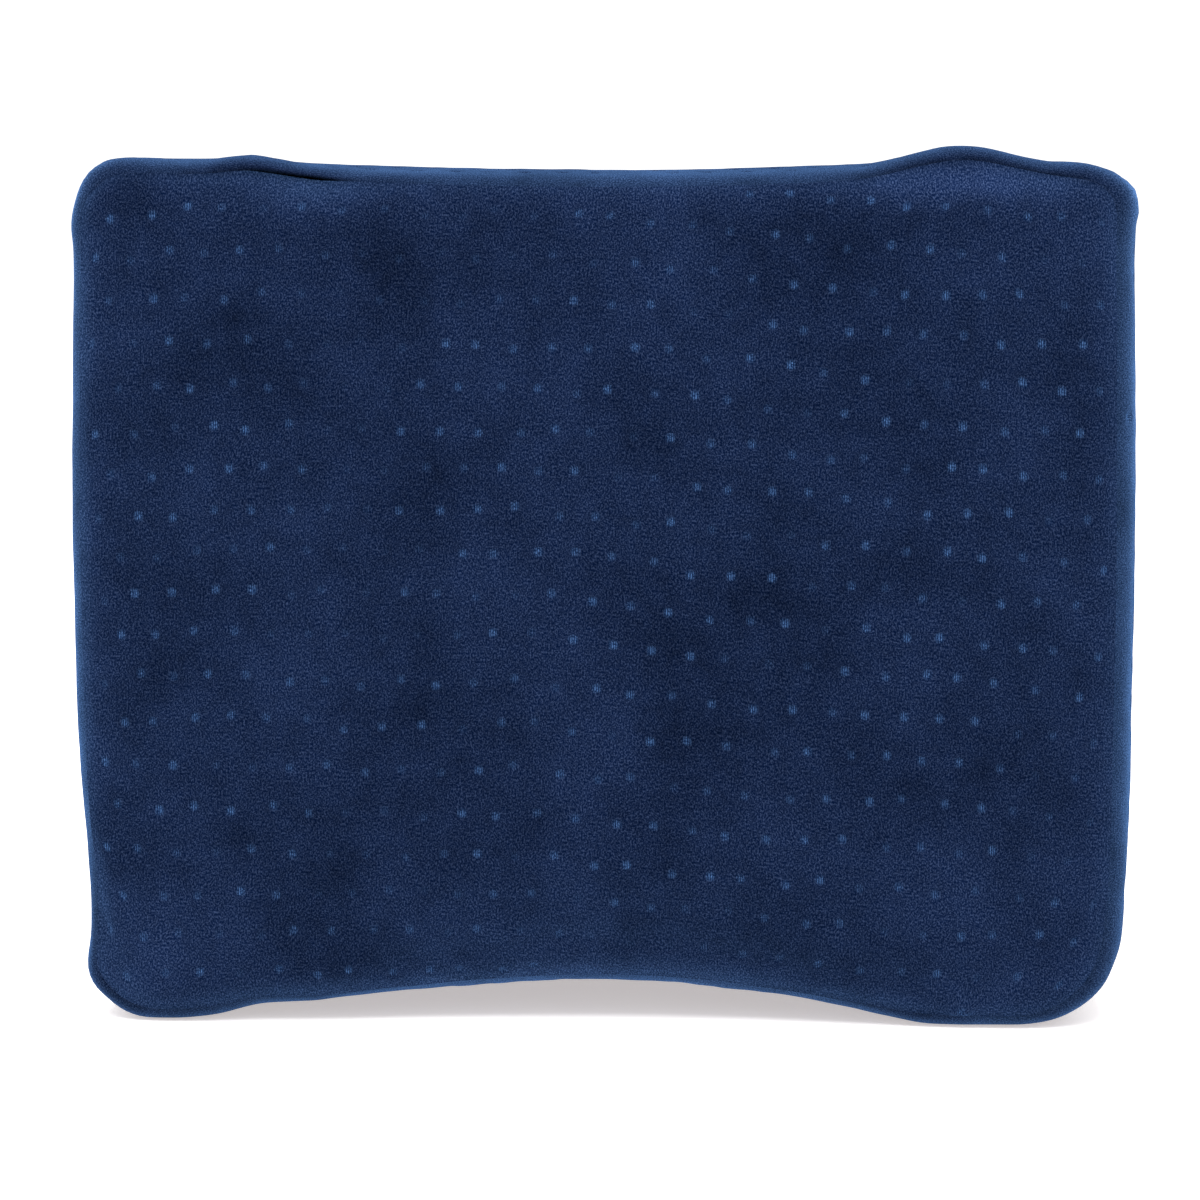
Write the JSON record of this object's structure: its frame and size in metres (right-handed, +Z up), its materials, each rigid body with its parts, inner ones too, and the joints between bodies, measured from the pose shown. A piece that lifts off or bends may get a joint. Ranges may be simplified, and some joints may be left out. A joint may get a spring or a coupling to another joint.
{
  "type": "knee pillow",
  "caption": "Boxed foam knee pillow in a dimpled velour cover, with a shallow leg hollow across its top and a deeper one across its underside.",
  "frame": {"origin": "on the floor, under the middle of the pillow as it stands on its feet", "axes": "+Z up, +X to the right across the wide face, -Y out of the front face"},
  "size_m": [0.2549, 0.152, 0.2109],
  "materials": {
    "velour": "navy knitted polyester velour, matt, with a soft sheen and small bare dimples"
  },
  "bodies": {
    "root": {"boxed_body": "velour", "front_panel": "velour", "back_panel": "velour"}
  },
  "joints": []
}
